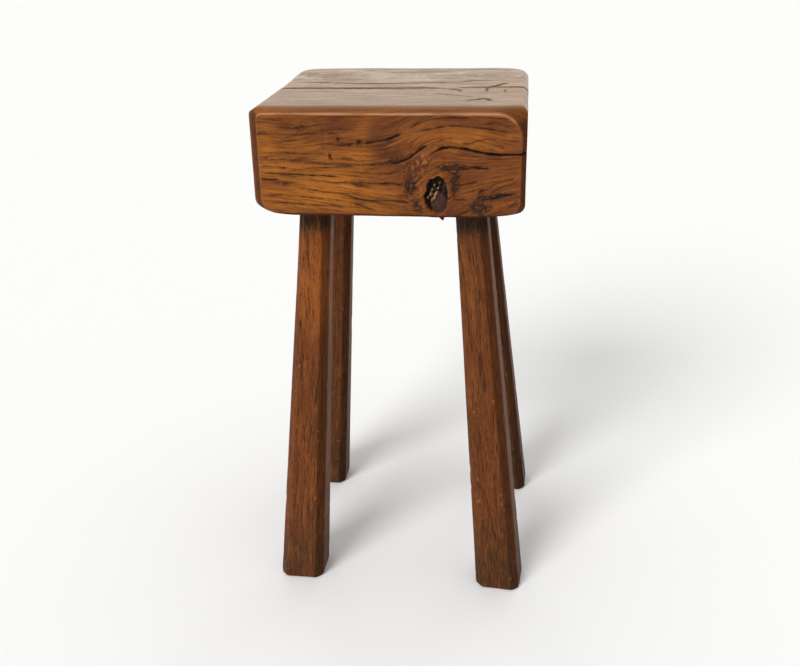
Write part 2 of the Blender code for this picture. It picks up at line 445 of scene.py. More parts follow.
def hole_ratio(points):
    """0 at the middle of the knot hole and 1 on its rim, seen from the front."""
    across = points[:, 0] - HOLE_MIDDLE[0]
    up = points[:, 2] - HOLE_MIDDLE[1]
    turn = np.mod(np.arctan2(up, across), 2 * np.pi)
    angles = np.linspace(0.0, 2 * np.pi, len(HOLE_RADII) + 1)
    radii = np.interp(turn, angles, HOLE_RADII + HOLE_RADII[:1])
    return np.hypot(across, up) / radii


def blob(points, middle, half, lean=0.0):
    """1 at a place on the front face, fading to 0 outside an ellipse that may lean."""
    across = points[:, 0] - middle[0]
    up = points[:, 2] - middle[1] - lean * across
    return np.exp(-((across / half[0]) ** 2 + (up / half[1]) ** 2))


def knot_fields(points):
    """The cavity of the knot: its depth, what lies in it, and the swelling round it."""
    on_face = near_front(points, 8, 3)
    crumble = soft_noise(points, (1.9, 4, 1.9), 31)
    coarse = soft_noise(points, (5.5, 8, 5.5), 32)
    ratio = hole_ratio(points)
    inside = (1.0 - smoothstep(0.93, 1.01, ratio + 0.05 * crumble + 0.04 * coarse)) * on_face
    dome = np.hypot((points[:, 0] - PLUG_MIDDLE[0]) / PLUG_HALF[0],
                    (points[:, 2] - PLUG_MIDDLE[1]) / PLUG_HALF[1]) + 0.05 * crumble
    plug = 1.0 - smoothstep(0.82, 0.98, dome)
    chips = np.max([blob(points, *flake) for flake in CHIPS], axis=0)
    chips = smoothstep(0.30, 0.62, chips + 0.14 * crumble)
    swelling = np.sqrt(np.clip(1.0 - dome ** 2, 0.0, 1.0))
    depth = HOLE_DEPTH - (PLUG_RIM + PLUG_DOME * swelling) * plug - CHIP_LIFT * chips
    depth = depth + 1.2 * crumble * (1 - plug) + 0.9 * coarse * (1 - 0.7 * plug)
    around = np.exp(-((ratio - 1.2) / 0.13) ** 2) * on_face
    fields = {"hole": inside, "chips": chips * inside, "plug": plug * inside}
    return inside * np.maximum(depth, 0.6), fields, around


# -------- colour zones of the block

# Tones of the front face as soft spots: strength, middle x and z, half-lengths x and z, and lean
ZONES = {
    "honey": [
        (1, -52, 22, 50, 21), (0.6, -16, 72, 9, 9), (0.6, -22, 52, 12, 8), (0.3, 88, 8, 16, 5),
        (0.45, 62, 66, 30, 6), (0.25, 90, 27, 18, 4, 0.3), (0.5, -98, 58, 8, 26),
        (0.35, -68, 58, 16, 8), (0.35, -84, 42, 16, 7), (0.3, -84, 12, 20, 8), (0.3, -90, 74, 14, 8),
    ],
    "red": [
        (0.45, -66, 72, 26, 13), (0.7, -36, 80, 16, 9), (1, 4, 58, 12, 16), (0.7, 22, 34, 9, 14),
        (0.7, -84, 28, 11, 3.2), (0.7, -72, 48, 8, 3.4, 0.2), (0.8, 78, 42, 20, 9),
        (0.6, 92, 76, 16, 7, -0.3), (0.8, 88, 18, 22, 14), (0.6, 20, 78, 22, 7),
    ],
    "umber_and_shade": [
        # The first spot darkens the hollow left of the knot: painted shade over the real hollow cut
        # there
        (1.05, 5, 56, 10, 14), (0.75, -8, 68, 9, 13), (0.6, -34, 77, 15, 7), (0.5, 26, 46, 14, 7, 0.4),
        (0.55, 23, 26, 9, 18), (0.5, 55, 18, 8, 14), (0.35, 68, 32, 10, 9),
        (0.4, 56, 51, 20, 3.5, -0.1), (0.35, 88, 14, 12, 8), (0.35, 50, 80, 26, 4),
        (0.3, 10, 22, 9, 12), (0.6, -55, 2.5, 60, 4), (0.75, 65, 3.5, 34, 4), (0.3, -36, 62, 10, 4),
        (0.35, 24, 14, 11, 10), (0.4, 48, 38, 15, 5), (0.9, -88, 28, 14, 2.6, -0.05),
        (0.6, -68, 48, 9, 2.2, 0.25), (0.45, -80, 75, 10, 4, 0.2), (0.45, -44, 76, 9, 5, 0.4),
    ],
    "stain_and_shade": [
        (1.6, 54, 42.8, 10, 3), (1, 57, 34, 4.2, 6), (3, 78.2, 13, 2.5, 9),
        (1.3, 91, 19.2, 10, 2.2, 0.2), (1.2, 80, 8, 7, 3, 0.3), (1, 71.5, 12, 2.6, 5),
        (1, 21, 26, 5, 8), (0.9, 26, 10, 4, 6), (0.9, 57, 25, 3, 9), (0.7, -27, 60.4, 6, 1.5),
        (0.7, -84, 27.6, 10, 2.4), (0.5, 8, 48, 9, 4, 0.3), (0.6, -72, 47.6, 7, 2, 0.2),
        (0.4, 20, 60, 5, 8), (0.5, -38, 74, 14, 6), (0.4, -70, 74, 12, 5, 0.2),
    ],
    "swirl": [(1, 25, 30, 11, 20), (0.7, 32, 50, 8, 8)],
    "flecks": [
        (1, 30.5, 52, 1, 1.5), (1, 32.2, 48, 0.9, 1.8), (0.7, 22, 40, 1.5, 1), (0.7, 27, 43, 1, 1.3),
    ],
}


def spots(points, places):
    """Soft spots on the front face, added up."""
    total = np.zeros(len(points))
    for strength, x, z, half_x, half_z, *lean in places:
        total += strength * blob(points, (x, z), (half_x, half_z), *lean)
    return total


def zone_fields(points):
    """Painted fields over the block: where each tone of its wood lies, with painted shade on the side
    bevels and a painted highlight on the top ridge, each 0 to 1.
    """
    x, y, z = points.T
    zone = {name: spots(points, places) for name, places in ZONES.items()}
    wide = soft_noise(points, (60, 60, 26), 41)
    mottled = soft_noise(points, (16, 16, 7), 42)
    face = near_front(points, 14, 2)
    painted = face * (1.0 + 0.35 * mottled)
    at_front = near_front(points, 16, 6)
    gap, _, share = face_outline(x, z)
    upper = share * (z > THICK / 2)
    # A painted highlight along the top front ridge, with light wear
    on_ridge = np.exp(-((gap - 0.2) / 0.8) ** 2) * smoothstep(0.25, 0.6, upper) * at_front
    on_arris = np.exp(-(gap / 0.8) ** 2) * at_front * smoothstep(2, 6, z)
    # The bevels at the sides of the front are painted darker: painted shade
    side_bevel = smoothstep(0.2, 1.4, gap) * smoothstep(0.5, 0.2, upper) * at_front
    right_bevel = smoothstep(0.5, 2.0, gap) * at_front * smoothstep(80, 104, x)
    bevel = np.maximum(side_bevel, 0.45 * right_bevel)
    under_edge = smoothstep(3.8, 1.6, z) * near_front(points, 6, 2)
    on_top_face = smoothstep(THICK - 2.5, THICK - 0.5, z)
    top_bevel = smoothstep(0.2, 0.8, gap) * upper * at_front
    under_arcs = face * smoothstep(0.3, 0.9, blob(points, (62, 68), (52, 17)))
    fields = {
        "honey": zone["honey"] * painted + (0.22 + 0.3 * wide) * (1 - face),
        "red": zone["red"] * painted + (0.25 - 0.3 * wide) * (1 - face),
        "umber_and_shade": zone["umber_and_shade"] * face * (1.0 + 0.45 * mottled),
        "stain_and_shade": zone["stain_and_shade"] * painted,
        "swirl": zone["swirl"] * face,
        "edge": np.maximum(on_ridge, 0.16 * on_arris) + 0.7 * zone["flecks"] * face,
        # Painted shade on the side bevels, and darker along the foot of the front
        "patina_and_shade": np.maximum(0.8 * bevel, under_edge),
        "bleach": on_top_face,
        "calm": np.maximum(np.maximum(on_top_face, top_bevel), 0.65 * under_arcs),
    }
    return {name: np.clip(values, 0.0, 1.0) for name, values in fields.items()}


# -------- the block's mesh

EDGE_BAND = 13.0
EDGE_STEP = 0.85
BLOCK_STEP = 2.4
# How close to a mark, to the knot hole's rim and to a pit the mesh is refined, level by level
MARK_REACH = (3.4, 1.8, 0.0)
HOLE_REACH = (1.7, 1.3, 1.12)
PIT_REACH = (3.0, 1.8, 0.0)
# Hollows and swellings of the front face, as soft spots like those of the zones
HOLLOWS = [(1, 5, 58, 8, 16), (0.7, 26, 36, 9, 16), (0.8, 58, 26, 5, 14), (0.5, 78, 14, 4, 12)]
LUMPY = [(1, 24, 28, 10, 20), (0.6, 32, 48, 8, 7)]
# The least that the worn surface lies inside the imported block
LEAST_INSET = 0.03
FRONT_INSET = 0.35
ROUND_INSET = 0.06


def lattice_lines(low, high):
    """Places along one side of the block: close near its edges, wider in the middle."""
    edge = np.arange(0.0, EDGE_BAND, EDGE_STEP)
    count = int((high - low - 2 * EDGE_BAND) / BLOCK_STEP)
    middle = np.linspace(low + EDGE_BAND, high - EDGE_BAND, count)
    return np.concatenate([low + edge, middle, high - edge[::-1]])


def box_lattice():
    """A closed box of small quads, as a bmesh in the block's millimetres."""
    lines = [lattice_lines(-HALF_X, HALF_X), lattice_lines(-HALF_Y, HALF_Y),
             lattice_lines(0.0, THICK)]
    bm = bmesh.new()
    known = {}

    def corner(place):
        if place not in known:
            known[place] = bm.verts.new([lines[axis][place[axis]] for axis in range(3)])
        return known[place]

    for axis in range(3):
        u_axis, v_axis = [other for other in range(3) if other != axis]
        last, last_u, last_v = (len(lines[each]) - 1 for each in (axis, u_axis, v_axis))
        for end, u, v in itertools.product((0, last), range(last_u), range(last_v)):
            ring = []
            for step_u, step_v in ((0, 0), (1, 0), (1, 1), (0, 1)):
                place = [0, 0, 0]
                place[axis], place[u_axis], place[v_axis] = end, u + step_u, v + step_v
                ring.append(corner(tuple(place)))
            bm.faces.new(ring)
    bmesh.ops.recalc_face_normals(bm, faces=bm.faces)
    return bm


def needs_detail(points, level):
    """Which points lie where the surface has fine detail, at one level of refining."""
    needed = hole_ratio(points) < HOLE_REACH[level]
    for (x, z), half, _ in PITS:
        gap = np.hypot(points[:, 0] - x, points[:, 2] - z) / max(half)
        needed |= gap < PIT_REACH[level]
    needed &= points[:, 1] < -HALF_Y + 0.1
    for each in MARKS:
        index, gap, _ = near_path(points, each["path"][::3], 5.0)
        needed[index] |= gap < MARK_REACH[level]
    return needed


def refine(bm, level):
    edges = list(bm.edges)
    middles = np.array([(edge.verts[0].co + edge.verts[1].co) / 2 for edge in edges])
    chosen = [edge for edge, needed in zip(edges, needs_detail(middles, level)) if needed]
    bmesh.ops.subdivide_edges(bm, edges=chosen, cuts=1, use_grid_fill=True)


FIELD_NAMES = ("honey", "red", "umber_and_shade", "stain_and_shade", "swirl", "edge", "patina_and_shade", "bleach", "calm",
               "dark", "hole", "chips", "plug")


def store_fields(mesh, fields, grain):
    """Store the fields that the materials read; one that isn't given is 0 all over."""
    for name in FIELD_NAMES:
        layer = mesh.attributes.new(name, "FLOAT", "POINT")
        if name in fields:
            layer.data.foreach_set("value", np.asarray(fields[name], np.float32))
    layer = mesh.attributes.new("grain", "FLOAT_VECTOR", "POINT")
    layer.data.foreach_set("vector", np.asarray(grain, np.float32).ravel())


def make_object(name, bm):
    mesh = bpy.data.meshes.new(name)
    bm.to_mesh(mesh)
    bm.free()
    mesh.shade_smooth()
    thing = bpy.data.objects.new(name, mesh)
    bpy.context.scene.collection.objects.link(thing)
    return thing


def bridge(bm, low, high):
    """Quads between two rings of vertices."""
    for i in range(len(low)):
        j = (i + 1) % len(low)
        bm.faces.new((low[i], low[j], high[j], high[i]))


def relief(points):
    """How far the worn surface of the front lies in or out around the knot and the arcs (mm)."""
    x, _, z = points.T
    lobe = sigmoid((x - 13.0 - 0.02 * (z - 62.0) ** 2) / 1.6) * smoothstep(50, 58, z)
    lumps = soft_noise(points, (5.2, 9, 6.4), 53) + 0.5 * soft_noise(points, (2.4, 6, 2.6), 54)
    strokes = soft_noise(points, (9, 9, 2.6), 55)
    out = 0.45 * lobe - 0.7 * spots(points, HOLLOWS) + 0.8 * spots(points, LUMPY) * lumps
    return near_front(points, 3, 0.5) * (out + 0.10 * strokes)


def build_block():
    bm = box_lattice()
    for level in range(len(HOLE_REACH)):
        refine(bm, level)
    block = make_object("worn_seat_block", bm)
    mesh = block.data
    sharp = np.empty(len(mesh.vertices) * 3, np.float32)
    mesh.vertices.foreach_get("co", sharp)
    place, normal = block_surface(sharp.reshape(-1, 3).astype(float))
    depth, dark = mark_fields(place)
    cavity, in_hole, around_hole = knot_fields(place)
    hole = in_hole["hole"]
    depth = np.where(hole > 0.02, cavity, depth)
    waves = 0.22 * (1.0 + soft_noise(place, (42, 42, 30), 51))
    waves += 0.05 * (1.0 + soft_noise(place, (14, 6, 4), 52))
    waves += FRONT_INSET * near_front(place, 3, 0.5) - relief(place) - 0.9 * around_hole
    flat = np.abs(normal).max(axis=1) > 0.98
    inset = depth + np.maximum(waves, LEAST_INSET) + np.where(flat, 0.0, ROUND_INSET)
    fields = zone_fields(place) | in_hole
    fields["dark"] = np.where(hole > 0.5, 0.0, dark)
    tangle = np.stack([soft_noise(place, (7, 9, 7), 61), soft_noise(place, (6, 9, 6), 62),
                       soft_noise(place, (6, 9, 6), 63)], axis=1)
    grain = ring_place(place) + tangle * fields["swirl"][:, None] * (6.0, 3.0, 6.0)
    final = (place - normal * inset[:, None]) * MM + np.array(BLOCK_ORIGIN)
    mesh.vertices.foreach_set("co", final.astype(np.float32).ravel())
    store_fields(mesh, fields, grain)
    mesh.update()
    return block


# The splinter's sections from its root down: height, left, right, front and back
SPLINTER_SECTIONS = [
    (1.8, 43.6, 48.2, -109.2, -107.2),
    (0.0, 43.8, 47.9, -109.9, -107.9),
    (-1.0, 44.9, 47.7, -109.7, -108.3),
    (-2.4, 46.3, 47.1, -109.3, -108.7),
]


def build_splinter():
    """The sliver of torn wood that hangs under the front edge, below the knot."""
    bm = bmesh.new()
    rings = []
    for z, left, right, front, back in SPLINTER_SECTIONS:
        places = ((left, front), (right, front + 0.4), (right, back), (left, back - 0.3))
        rings.append([bm.verts.new(Vector((x, y, z)) * MM + BLOCK_ORIGIN) for x, y in places])
    for low, high in zip(rings, rings[1:]):
        bridge(bm, low, high)
    bm.faces.new(rings[0])
    bm.faces.new(rings[-1])
    bmesh.ops.recalc_face_normals(bm, faces=bm.faces)
    bmesh.ops.bevel(bm, geom=list(bm.edges), offset=0.15 * MM, segments=1, affect="EDGES")
    splinter = make_object("knot_splinter", bm)
    local = np.array([vert.co - BLOCK_ORIGIN for vert in splinter.data.vertices]) / MM
    store_fields(splinter.data, {"patina_and_shade": np.full(len(local), 0.8)}, ring_place(local))
    return splinter


# -------- the legs

LEG_CELL = 1.5 * MM
CLOSE_ROW = 0.35 * MM
SHOULDER_BEVEL = 1.6 * MM
FOOT_BEVEL = 3.6 * MM
SHOULDER_GAP = 0.3 * MM
FACE_CELLS = 13
CHAMFER_CELLS = 6
CAP_SCALES = (0.75, 0.4, 0.12)
# Each leg's glow of clear wood under the seat, and how much painted shade darkens it all over, most on
# the back legs under the seat
LEG_TONES = {
    "front_left": (0.95, 0.0),
    "front_right": (0.15, 0.10),
    "back_left": (0.0, 0.30),
    "back_right": (0.0, 0.40),
}


def leg_sections(node):
    """The eight corners of a leg's section near its foot and near its shoulder."""
    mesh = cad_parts[node].data
    low_points, high_points = set(), set()
    for edge in mesh.edges:
        a, b = (mesh.vertices[i].co for i in edge.vertices)
        if abs(a.z - b.z) > 0.25:
            low, high = (a, b) if a.z < b.z else (b, a)
            low_points.add(tuple(round(v, 6) for v in low))
            high_points.add(tuple(round(v, 6) for v in high))
    sections = []
    for points in (low_points, high_points):
        ring = np.array(sorted(points))
        spread = ring - ring.mean(axis=0)
        ring = ring[np.argsort(np.arctan2(spread[:, 1], spread[:, 0]))]
        if np.linalg.norm(ring[1] - ring[0]) < np.linalg.norm(ring[2] - ring[1]):
            ring = np.roll(ring, -1, axis=0)
        sections.append(ring)
    return sections


def section_places():
    """For each point round a leg's section: the corner before it, and its share of the way on."""
    sides = (FACE_CELLS, CHAMFER_CELLS) * 4
    places = [(side, cell / cells) for side, cells in enumerate(sides) for cell in range(cells)]
    side, share = np.array(places).T
    return side.astype(int), share


def leg_axes(low, high):
    """The middle of a leg's foot, and its own axes: across, forward and along."""
    foot = low.mean(axis=0)
    along = high.mean(axis=0) - foot
    along = along / np.linalg.norm(along)
    across = np.cross((0.0, 1.0, 0.0), along)
    across = across / np.linalg.norm(across)
    return foot, np.stack([across, np.cross(along, across), along])


def leg_heights(top_z):
    """Heights of a leg's rows: close at its two bevels, even between them."""
    close = np.arange(0.0, FOOT_BEVEL, CLOSE_ROW)
    even = np.linspace(FOOT_BEVEL, top_z - FOOT_BEVEL, int(top_z / LEG_CELL))
    return np.concatenate([close, even, top_z - close[::-1]])


def leg_rows(low, high, side, share):
    """Rows of points up a leg, with softened arrises and a bevel at each end."""
    low_z, high_z = low[:, 2].mean(), high[:, 2].mean()
    top_z = block_low.z - SHOULDER_GAP
    rows = []
    for z in leg_heights(top_z):
        t = (z - low_z) / (high_z - low_z)
        corners = low + (high - low) * t
        corners[:, 2] = z
        ring = corners[side] * (1 - share) + corners[(side + 1) % 8] * share
        ring = ring * 0.5 + 0.25 * (np.roll(ring, 1, axis=0) + np.roll(ring, -1, axis=0))
        middle = corners.mean(axis=0)
        spread = ring - middle
        reach = np.linalg.norm(spread, axis=1)[:, None]
        bevel = FOOT_BEVEL if z < top_z / 2 else SHOULDER_BEVEL
        tuck = np.clip(1.0 - min(z, top_z - z) / bevel, 0.0, 1.0)
        inset = bevel * (1.0 - math.sqrt(1.0 - 0.94 * tuck * tuck))
        rows.append(middle + spread * (1.0 - inset / reach))
    return np.array(rows)


def dented(rows, local, arris, seed):
    """The rows with the faces a little uneven and the arrises nicked."""
    points = rows.reshape(-1, 3)
    outward = points - np.repeat(rows.mean(axis=1), rows.shape[1], axis=0)
    outward[:, 2] = 0.0
    outward = outward / np.linalg.norm(outward, axis=1)[:, None]
    dents = 0.20 * (1 + soft_noise(local, (40, 40, 60), seed))
    dents += 0.05 * (1 + soft_noise(local, (6, 6, 30), seed + 1))
    nicks = np.maximum(soft_noise(local, (5, 5, 8), seed + 2) - 0.45, 0.0) * 1.6
    dents += np.where(arris, nicks, 0.0)
    return (points - outward * (dents * MM)[:, None]).reshape(rows.shape)


def cap(bm, rim):
    """Close a ring of vertices with smaller rings inside it and a middle face."""
    middle = sum((vert.co for vert in rim), Vector()) / len(rim)
    outer = rim
    for scale in CAP_SCALES:
        inner = [bm.verts.new(middle + (vert.co - middle) * scale) for vert in rim]
        bridge(bm, outer, inner)
        outer = inner
    bm.faces.new(outer)


def leg_fields(local, height, chamfer, arris, seed, glow, grime_and_shade):
    """Painted fields over a leg, whose height is 0 at the floor and 1 at the seat, with painted shade
    under the seat, over the back legs and on the chamfers facing right.
    """
    patches = soft_noise(local, (22, 22, 70), seed + 6)
    specks = smoothstep(0.72, 0.85, soft_noise(local, (1.8, 1.8, 2.6), seed + 7))
    faces_right = smoothstep(-2.0, 6.0, local[:, 0])
    fields = {
        "honey": glow * smoothstep(0.58, 0.84, height) + 0.25 * patches,
        "red": 0.35 - 0.45 * patches,
        # A dark band just under the seat is painted shadow of the seat, and the per-leg amount paints
        # shade over the back legs; the legs are also darker towards the feet
        "stain_and_shade": (0.30 * smoothstep(0.20, 0.03, height) * (1 + 0.3 * patches)
                  + 0.9 * smoothstep(0.92, 0.965, height)
                  + 0.5 * grime_and_shade * smoothstep(0.1, 0.3, height)),
        # The same painted shadow under the seat and painted shade of the back legs, over a darker tone
        # towards the feet
        "umber_and_shade": (0.80 * smoothstep(0.26, 0.05, height) - 0.25 * smoothstep(0.03, 0.0, height)
                  + 0.8 * smoothstep(0.90, 0.975, height) + 1.5 * grime_and_shade),
        # Painted shade on the chamfers that face right, away from the key light
        "patina_and_shade": 0.55 * chamfer * faces_right,
        "edge": 0.4 * specks * arris,
    }
    return {name: np.clip(values, 0.0, 1.0) for name, values in fields.items()}


def leg_grain(local, seed):
    """A leg's grain coordinates: along the fibres, across the rings, and around them (mm)."""
    sway = 1.6 * soft_noise(local, (60, 60, 130), seed + 5)
    across = local[:, 0] * 0.93 + local[:, 1] * 0.37 + sway + 60 + seed * 7.0
    around = local[:, 1] * 0.93 - local[:, 0] * 0.37
    return np.stack([local[:, 2], across, around], axis=1)


def build_leg(node, seed, glow, grime_and_shade):
    """A tapered octagonal leg with softened arrises, small dents and its own grain."""
    low, high = leg_sections(node)
    foot, axes = leg_axes(low, high)
    side, share = section_places()
    rows = leg_rows(low, high, side, share[:, None])
    local = (rows.reshape(-1, 3) - foot) @ axes.T / MM
    arris = np.tile(np.minimum(share, 1 - share) < 0.12, len(rows))
    chamfer = np.tile(side % 2, len(rows))
    rows = dented(rows, local, arris, seed)
    bm = bmesh.new()
    rings = [[bm.verts.new(point) for point in row] for row in rows]
    for below, above in zip(rings, rings[1:]):
        bridge(bm, below, above)
    cap(bm, rings[0])
    cap(bm, rings[-1])
    bmesh.ops.recalc_face_normals(bm, faces=bm.faces)
    leg = make_object("worn_" + node, bm)
    every = np.array([vert.co for vert in leg.data.vertices])
    local = (every - foot) @ axes.T / MM
    on_caps = (0, len(every) - len(arris))
    fields = leg_fields(local, every[:, 2] / block_low.z, np.pad(chamfer, on_caps),
                        np.pad(arris, on_caps), seed, glow, grime_and_shade)
    store_fields(leg.data, fields, leg_grain(local, seed))
    return leg


# -------- materials

# The thin old finish reflects little straight on, but still strongly at a low angle
FINISH_IOR = 1.22
BUMP_STRENGTH = 0.45
BUMP_DISTANCE = 0.4 * MM


class Nodes:
    """Short calls for building the node tree of a material or of the world."""

    def __init__(self, owner):
        owner.use_nodes = True
        self.tree = owner.node_tree

    def add(self, kind, **settings):
        node = self.tree.nodes.new(kind)
        for name, value in settings.items():
            setattr(node, name, value)
        return node

    def feed(self, socket, value):
        if hasattr(value, "is_output"):
            self.tree.links.new(value, socket)
        else:
            socket.default_value = value

    def made(self, node, *values):
        """Feed a node's inputs in their order, and return its first output."""
        for socket, value in zip(node.inputs, values):
            self.feed(socket, value)
        return node.outputs[0]

    def field(self, name):
        return self.add("ShaderNodeAttribute", attribute_name=name).outputs["Fac"]

    def math(self, operation, a, b=0.0, clamp=False):
        return self.made(self.add("ShaderNodeMath", operation=operation, use_clamp=clamp), a, b)

    def times(self, a, b):
        return self.math("MULTIPLY", a, b)

    def plus(self, a, b, clamp=False):
        return self.math("ADD", a, b, clamp)

    def vector(self, operation, a, b):
        return self.made(self.add("ShaderNodeVectorMath", operation=operation), a, b)

    def noise(self, vector, per_mm, detail, rough, output="Fac"):
        """Noise with this many waves in a millimetre of each grain coordinate."""
        node = self.add("ShaderNodeTexNoise")
        self.feed(node.inputs["Vector"], self.vector("MULTIPLY", vector, per_mm))
        self.feed(node.inputs["Scale"], 1.0)
        self.feed(node.inputs["Detail"], detail)
        self.feed(node.inputs["Roughness"], rough)
        return node.outputs[output]

    def span(self, value, low, high, out_low=0.0, out_high=1.0):
        node = self.add("ShaderNodeMapRange", interpolation_type="SMOOTHSTEP")
        return self.made(node, value, low, high, out_low, out_high)

    def mix(self, amount, a, b):
        node = self.add("ShaderNodeMix", data_type="RGBA")
        self.feed(node.inputs[0], amount)
        self.feed(node.inputs[6], a)
        self.feed(node.inputs[7], b)
        return node.outputs[2]


def colour(red, green, blue):
    """A colour from screen values of 0 to 255, as the shader's linear light."""
    def linear(value):
        value = value / 255.0
        return value / 12.92 if value <= 0.04045 else ((value + 0.055) / 1.055) ** 2.4
    return (linear(red), linear(green), linear(blue), 1.0)


def stored_grain(n):
    """Grain coordinates in mm that a piece carries on its mesh."""
    return n.add("ShaderNodeAttribute", attribute_name="grain").outputs["Vector"]


def upright_grain(n):
    """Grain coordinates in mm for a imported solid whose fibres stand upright."""
    parts = n.add("ShaderNodeSeparateXYZ")
    n.feed(parts.inputs[0], n.add("ShaderNodeTexCoord").outputs["Object"])
    turned = n.made(n.add("ShaderNodeCombineXYZ"), *(parts.outputs[axis] for axis in "ZXY"))
    return n.vector("MULTIPLY", turned, (1 / MM, 1 / MM, 1 / MM))


def stirred(n, grain):
    """The grain coordinates, moved about a little so that no fibre runs dead straight."""
    stir = n.noise(grain, (0.16, 0.45, 0.3), 4.0, 0.5, "Color")
    shift = n.vector("SUBTRACT", stir, (0.5, 0.5, 0.5))
    return n.vector("ADD", grain, n.vector("MULTIPLY", shift, (4.0, 2.3, 2.0)))


def ring_lines(n, grain, spacing, stray, edge_from, edge_to):
    """Dark late-wood lines at the growth rings, each ring of its own strength."""
    parts = n.add("ShaderNodeSeparateXYZ")
    n.feed(parts.inputs[0], grain)
    along, across, around = parts.outputs
    stir = n.noise(grain, (0.010, 0.6 / spacing, 0.02), 2.0, 0.5)
    phase = n.plus(n.math("DIVIDE", across, spacing), n.times(stir, stray))
    turn = n.math("FRACT", phase)
    ring = n.made(n.add("ShaderNodeCombineXYZ"), along, n.math("FLOOR", phase), around)
    strength = n.span(n.noise(ring, (0.016, 7.31, 0.016), 4.0, 0.65), 0.44, 0.64)
    line = n.times(n.span(turn, edge_from, edge_to), n.span(turn, 1.0, 0.985))
    late = n.times(n.span(turn, 0.35, edge_to), n.span(turn, 1.0, 0.97))
    return n.times(line, strength), n.times(late, strength)


def wood_figure(n, still, figure, dash_per_mm, grime_per_mm):
    """The wood's figure at every scale, as sockets: noises, and lines at the growth rings."""
    grain = stirred(n, still)
    look = SimpleNamespace(
        broad=n.noise(grain, (0.010, 0.10, 0.02), 3.0, 0.6),
        streaks=n.noise(grain, (0.022, 0.60, 0.12), 4.0, 0.65),
        fibres=n.noise(grain, (0.08, 2.2, 1.2), 3.0, 0.7),
        dashes=n.noise(grain, dash_per_mm, 2.0, 0.6),
        hairs=n.noise(grain, (0.045, 1.5, 0.4), 2.0, 0.5),
        clouds=n.noise(grain, (0.03, 0.06, 0.05), 3.0, 0.6),
        lumps=n.noise(still, (0.30, 0.30, 0.30), 3.0, 0.6),
        grime_and_shade=n.noise(still, grime_per_mm, 5.0, 0.75),
        bark=n.noise(still, (0.5, 0.5, 0.5), 4.0, 0.7),
        show=n.span(n.field("calm"), 0.0, 1.0, figure, figure * 0.45),
    )
    wide_line, wide_late = ring_lines(n, grain, 6.2, 3.0, 0.84, 0.92)
    close_line, close_late = ring_lines(n, grain, 2.7, 2.6, 0.68, 0.88)
    crowd = n.span(n.noise(grain, (0.014, 0.06, 0.05), 3.0, 0.6), 0.40, 0.62)
    line = n.math("MAXIMUM", wide_line, n.times(n.times(close_line, crowd), 0.85))
    broken = n.span(look.fibres, 0.36, 0.54, 0.35, 1.0)
    look.line = n.times(n.times(line, broken), look.show)
    late = n.math("MAXIMUM", wide_late, n.times(close_late, 0.5))
    look.late = n.times(late, look.show)
    return look


def wood_colour(n, look, palette, fibre, dash_dark):
    """The wood's tones, laid one over another: zones, figure, lines, patina and painted shade, wear with
    a painted highlight, and then dirt with painted shadow.
    """
    swirl = n.field("swirl")
    # Light wear and the painted highlight of the top ridge
    wear_and_highlight = n.times(n.field("edge"), n.span(look.clouds, 0.36, 0.56, 0.35, 1.0))
    # The stain field: real stains on the block, and on the legs painted shadow under the seat
    ragged = n.times(n.field("stain_and_shade"), n.span(look.grime_and_shade, 0.38, 0.62, 0.20, 1.45))
    coats = [
        ("honey", n.times(n.field("honey"), 0.85)),
        ("red", n.times(n.field("red"), 0.75)),
        ("umber_and_shade", n.times(n.field("umber_and_shade"), 0.85)),
        ("red", n.span(look.clouds, 0.52, 0.72, 0.0, 0.55)),
        ("light", n.span(look.clouds, 0.48, 0.28, 0.0, 0.35)),
        ("dark", n.span(look.streaks, 0.50, 0.74, 0.0, 0.45)),
        ("light", n.span(look.streaks, 0.52, 0.28, 0.0, 0.45)),
        ("dark", n.span(look.fibres, 0.50, 0.76, 0.0, fibre)),
        ("light", n.span(look.fibres, 0.50, 0.26, 0.0, fibre)),
        ("dark", n.times(look.late, 0.35)),
        ("bleach", n.times(n.field("bleach"), 0.5)),
        ("line", n.times(n.span(look.dashes, 0.54, 0.66, 0.0, dash_dark), n.plus(look.show, 0.2))),
        ("line", n.times(look.line, 0.95)),
        ("line", n.times(n.span(look.hairs, 0.62, 0.70, 0.0, 0.6), look.show)),
        ("patina_and_shade", n.times(n.field("patina_and_shade"), 0.85)),
        ("wear_and_highlight", n.times(wear_and_highlight, 0.85)),
        ("lump", n.times(n.times(swirl, n.span(look.lumps, 0.52, 0.66)), 0.8)),
        ("dark", n.times(n.times(swirl, n.span(look.lumps, 0.48, 0.36)), 0.8)),
        ("stain_and_shade", n.span(ragged, 0.10, 0.80, 0.0, 0.88)),
        ("crack", n.field("dark")),
    ]
    base = n.mix(n.span(look.broad, 0.34, 0.62), palette["mid"], palette["deep"])
    for tone, amount in coats:
        base = n.mix(amount, base, palette[tone])
    return base


def knot_colour(n, look, palette):
    """What lies in the knot hole: bark, the loose plug and flakes of pale wood."""
    bark = n.mix(n.span(look.bark, 0.4, 0.65), palette["bark"], palette["bark_light"])
    plug = n.mix(n.span(look.bark, 0.42, 0.62), palette["plug"], palette["bark_light"])
    flake = n.mix(n.span(look.bark, 0.40, 0.58), palette["chips"], palette["chips_dark"])
    return n.mix(n.field("chips"), n.mix(n.field("plug"), bark, plug), flake)


